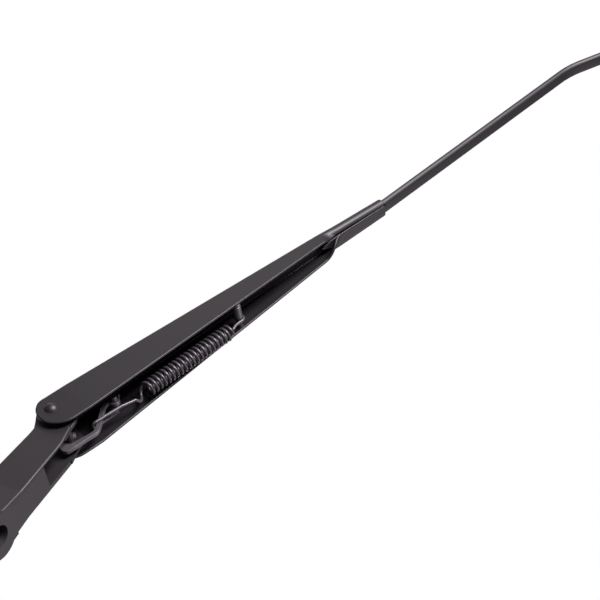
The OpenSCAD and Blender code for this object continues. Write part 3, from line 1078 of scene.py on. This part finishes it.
class SpringSet:
    """The spring, the hooked link with its pin, and the sleeve on the anchor pin."""

    PER_TURN = 24
    HOOK_STEPS = 12

    def __init__(self, sizes: SpringSizes = SpringSizes()) -> None:
        """Keeps the sizes."""
        self.s = sizes

    def _helix(self, x: float, turn: float, r: float) -> Point3:
        """A point on the coil.

        Args:
            x: distance along the arm.
            turn: turns from the coil's start.
            r: radius there.

        Returns:
            The point.
        """
        s = self.s
        a = math.radians(s.start_deg + 360 * turn)
        z = s.coil_z + (x - s.coil_x) * s.rise
        return (x, s.mech_y + r * math.cos(a), z + r * math.sin(a))

    def route(self) -> list[Point3]:
        """The wire's centre line.

        Returns:
            Points from the free end of the inner hook to the tip of the outer one.
        """
        s = self.s
        y = s.mech_y
        pitch = s.coil_len / s.coils
        points: list[Point3] = [(x, y + s.inner_r, z)
                                for x, z in ((33, -10.9), (28, -11.1), (22.6, -11.3))]
        for i in range(self.HOOK_STEPS + 1):
            a = math.radians(90 + 180 * i / self.HOOK_STEPS)
            x = s.inner_x + s.inner_r * math.cos(a)
            points.append((x, y + s.inner_r * math.sin(a), -11.4 - i / 8))
        points += [(x, y - s.inner_r, z) for x, z in ((24, -13), (29, -13.25), (34, -13.5))]
        for i in range(1, self.PER_TURN):
            u = i / self.PER_TURN
            x = s.coil_x - s.lead + (2 * s.lead - pitch) * u - (s.lead - pitch) * u * u
            points.append(self._helix(x, u, s.mean_r - s.lead_in + s.lead_in * u))
        steps = s.coils * self.PER_TURN
        for i in range(steps + 1):
            x = s.coil_x + s.coil_len * i / steps
            points.append(self._helix(x, i / self.PER_TURN, s.mean_r))
        end = s.coil_x + s.coil_len
        for i, step in enumerate(s.close, start=1):
            points.append(self._helix(end + step, i / s.close_turns, s.mean_r * (1 - i / s.close_r)))
        ax, az = s.anchor
        points += [(end + 6, y, az - s.outer_r - 0.6), (ax - 2.4, y, az - s.outer_r - 0.05)]
        points += [(px, y, pz) for px, pz in arc(ax, az, s.outer_r, start=-90, end=120, steps=14)]
        return points

    def _spring(self) -> None:
        """Sweeps the wire along its route."""
        curve = bpy.data.curves.new("tension_spring_wire", "CURVE")
        curve.dimensions = "3D"
        curve.bevel_depth = self.s.wire / 2
        curve.bevel_resolution = 4
        curve.use_fill_caps = True
        line = curve.splines.new("POLY")
        route = self.route()
        line.points.add(len(route) - 1)
        for spot, (x, y, z) in zip(line.points, route):
            spot.co = (x, y, z, 1)
        obj = bpy.data.objects.new("tension_spring_wire", curve)
        bpy.context.scene.collection.objects.link(obj)
        Workbench.only(obj)
        bpy.ops.object.convert(target="MESH")
        obj = bpy.context.object
        Workbench.edit(obj, Workbench.turn_outward)
        Workbench.place(obj, FRAME.arm(), SPRING_STEEL, Body.SPRING, Slot.STEEL,
                        ["tension_spring"], smooth=50)

    def _link_edges(self) -> tuple[list[Point2], list[Point2]]:
        """Outline of the link, from the tip of its hook to the end of its limb.

        Returns:
            As many points of the inner edge as of the outer one.
        """
        s = self.s
        px, pz = s.pin
        inner: list[Point2] = [(4.9, -10.5), (4.2, -11.05), (2.0, -11.05)]
        inner += arc(px, pz, s.pin_seat_r, start=90, end=270, steps=12)
        inner += [(2, -15.6), (6, -16.0), (10, -16.5), (12.4, -16.4), (13.8, -15.7), (15.0, -14.9),
                  (20.0, -10.2), (24.9, -4.9), (26.4, -3.2), (27.9, -2.1), (30.0, -1.6)]
        inner += [(31.0 + 0.72 * i, -1.5 + 0.085 * i) for i in range(11)]
        inner += [(39.0, -0.65), (40.0, -0.9), (40.4, -1.5)]
        outer: list[Point2] = [
            (4.9, -9.1), (4.2, -8.5), (-0.6, -8.5), (-1.8, -8.55), (-3.2, -8.85), (-4.5, -9.3),
            (-5.6, -10.0), (-6.4, -10.8), (-7.1, -11.7), (-7.6, -12.6), (-7.95, -13.7), (-8.1, -15.0),
            (-8.0, -16.2), (-7.7, -17.3), (-7.1, -18.3), (-6.0, -19.1), (-0.5, -19.25), (6, -19.0),
            (10.4, -19.3), (13.4, -19.1), (15.6, -18.1), (17.2, -16.8), (22.1, -12.2), (27.0, -6.9),
            (28.4, -5.5), (29.4, -4.8), (30.8, -4.3)]
        outer += arc(s.stub[0], s.stub[1], s.stub_r + s.stub_wall, start=160, end=380, steps=10)
        outer += [(39.0, -3.3), (40.0, -3.0), (40.4, -2.4)]
        return inner, outer

    def _link(self) -> None:
        """Builds the link as a strip between its edges, thickens it and adds the stub."""
        s = self.s
        inner, outer = self._link_edges()
        n = len(inner)
        y = s.mech_y - s.link_t / 2
        points = [(a, y, b) for a, b in inner + outer]
        faces = [(i, i + 1, n + i + 1, n + i) for i in range(n - 1)]
        obj = Workbench.mesh("hook_link_visible", points, faces)

        def thicken() -> None:
            """Pulls the strip through the link's thickness."""
            bpy.ops.mesh.extrude_region_move(TRANSFORM_OT_translate={"value": (0, s.link_t, 0)})
            Workbench.turn_outward()

        Workbench.edit(obj, thicken)
        Workbench.bevel(obj, s.link_edge_r, segments=3, angle=50)
        Workbench.place(obj, FRAME.arm(), LINK_STEEL, Body.LINK, Slot.STEEL, ["hook_link"])
        profile = pin_profile(s.stub_r, s.stub_low, s.stub_high, s.stub_edge)
        middle = (s.stub[0], s.mech_y, s.stub[1])
        stub = Workbench.turned("link_pin_visible", profile, middle, steps=32)
        Workbench.place(stub, FRAME.arm(), LINK_STEEL, Body.LINK, Slot.STEEL, ["link_pin"])

    def _sleeve(self) -> None:
        """Turns the stepped sleeve."""
        s = self.s
        ax, az = s.anchor
        r = s.sleeve_r
        bore = s.anchor_r + s.sleeve_play
        near = s.sleeve_near
        far = s.mech_y - s.sleeve_gap
        profile = [(bore, near), (r - 0.2, near), (r, near + 0.2), (r, near + 1.0),
                   (r - 0.2, near + 1.2), (r - 0.4, near + 1.25), (r - 0.4, near + 1.8),
                   (r - 0.2, near + 1.85), (r, near + 2.05), (r, far - 0.25), (r - 0.25, far),
                   (bore, far), (bore, near)]
        sleeve = Workbench.turned("anchor_sleeve_visible", profile, (ax, 0, az), steps=40)
        Workbench.place(sleeve, FRAME.arm(), LINK_STEEL, Body.ARM, Slot.STEEL, ["anchor_sleeve"])

    def build(self) -> None:
        """Builds the spring, link, link pin and sleeve."""
        self._spring()
        self._link()
        self._sleeve()


# Stage


@dataclass(frozen=True)
class Lamp:
    """One area light.

    Attributes:
        name: light name.
        aim: point that it faces, in arm coordinates.
        away: direction from that point to the lamp, in arm coordinates.
        distance: how far, in millimetres.
        size: width and height in millimetres.
        power: watts.
    """

    name: str
    aim: Point3
    away: Point3
    distance: float
    size: Point2
    power: float


@dataclass(frozen=True)
class StageSizes:
    """Camera and lights that match the photograph."""

    centre: Point3 = (-220.0, -508.7, -553.3)
    right: Point3 = (0.7421, 0.1317, -0.6572)
    down: Point3 = (-0.4882, 0.7781, -0.3953)
    lens: float = 83.96
    sensor: float = 36.0
    clip: float = 0.01
    world: float = 0.19
    tint: Point3 = (1.0, 0.93, 1.0)
    lamps: tuple[Lamp, ...] = (
        Lamp("key", (120, 0, 0), (0.44, -0.63, 0.64), 1000, (900, 600), 1.48),
        Lamp("edge", (100, 0, 0), (0.45, -0.82, -0.38), 1500, (800, 500), 58),
        Lamp("under", (60, 0, 0), (0.46, 0.68, -0.57), 1000, (700, 700), 2.8),
        Lamp("back", (150, 0, 0), (0.15, 0.6, 0.78), 1500, (2600, 1800), 24),
    )


class Stage:
    """Camera, world and lights."""

    def __init__(self, sizes: StageSizes = StageSizes()) -> None:
        """Keeps the sizes."""
        self.s = sizes

    def build(self) -> None:
        """Sets up everything round the object."""
        scene = bpy.context.scene
        scene.view_settings.view_transform = "Standard"
        scene.view_settings.look = "None"
        self._camera()
        self._world()
        for lamp in self.s.lamps:
            self._lamp(lamp)

    def _camera(self) -> None:
        """Places the camera by its fitted axes."""
        turn = FRAME.arm().to_3x3().normalized()
        right = turn @ Vector(self.s.right)
        up = -(turn @ Vector(self.s.down))
        back = right.cross(up)
        pose = Matrix((right, up, back)).transposed().to_4x4()
        pose.translation = FRAME.arm() @ Vector(self.s.centre)
        data = bpy.data.cameras.new("camera")
        data.lens = self.s.lens
        data.sensor_width = self.s.sensor
        data.clip_start = self.s.clip
        camera = bpy.data.objects.new("camera", data)
        bpy.context.scene.collection.objects.link(camera)
        camera.matrix_world = pose
        bpy.context.scene.camera = camera

    def _world(self) -> None:
        """White where the camera looks past the object, softer as light."""
        world = bpy.data.worlds.new("white")
        world.use_nodes = True
        tree = world.node_tree
        tree.nodes.clear()
        out = tree.nodes.new("ShaderNodeOutputWorld")
        pick = tree.nodes.new("ShaderNodeMixShader")
        path = tree.nodes.new("ShaderNodeLightPath")
        light = tree.nodes.new("ShaderNodeBackground")
        seen = tree.nodes.new("ShaderNodeBackground")
        light.inputs["Color"].default_value = (*self.s.tint, 1)
        light.inputs["Strength"].default_value = self.s.world
        seen.inputs["Color"].default_value = (1, 1, 1, 1)
        tree.links.new(path.outputs["Is Camera Ray"], pick.inputs[0])
        tree.links.new(light.outputs[0], pick.inputs[1])
        tree.links.new(seen.outputs[0], pick.inputs[2])
        tree.links.new(pick.outputs[0], out.inputs["Surface"])
        bpy.context.scene.world = world

    def _lamp(self, lamp: Lamp) -> None:
        """Adds one area light.

        Args:
            lamp: its settings.
        """
        data = bpy.data.lights.new(lamp.name, "AREA")
        data.shape = "RECTANGLE"
        data.size = lamp.size[0] * MM
        data.size_y = lamp.size[1] * MM
        data.energy = lamp.power
        data.color = self.s.tint
        obj = bpy.data.objects.new(lamp.name, data)
        obj.visible_camera = False
        bpy.context.scene.collection.objects.link(obj)
        aim = FRAME.arm() @ Vector(lamp.aim)
        away = (FRAME.arm().to_3x3().normalized() @ Vector(lamp.away)).normalized()
        obj.location = aim + away * lamp.distance * MM
        obj.rotation_euler = away.to_track_quat("Z", "Y").to_euler()


# Main


def dress_kept_nodes(nodes: dict[str, bpy.types.Object]) -> None:
    """Gives the frame nodes that stay visible their finish.

    Args:
        nodes: frame nodes by name.
    """
    # The hinge sleeve and anchor pin take the near-black pin steel, whose darkness is partly painted
    # shade.
    kept = {"bush_near": (BUSH_BLACK, Slot.PLASTIC), "bush_far": (BUSH_BLACK, Slot.PLASTIC),
            "hinge_sleeve": (PIN_STEEL_PAINTED_SHADE, Slot.STEEL), "anchor_pin": (PIN_STEEL_PAINTED_SHADE, Slot.STEEL)}
    for name, (finish, slot) in kept.items():
        obj = nodes[name]
        obj.data.materials.clear()
        obj.data.materials.append(LIBRARY.get(finish))
        LOG.info("%s: kept from the frame", name)


def main() -> None:
    """Builds the pieces and the stage."""
    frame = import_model()
    MountingHead().build()
    Retainer().build()
    FlatBar().build()
    SpringSet().build()
    dress_kept_nodes(frame["nodes"])
    Stage().build()


if __name__ == "__main__":
    main()
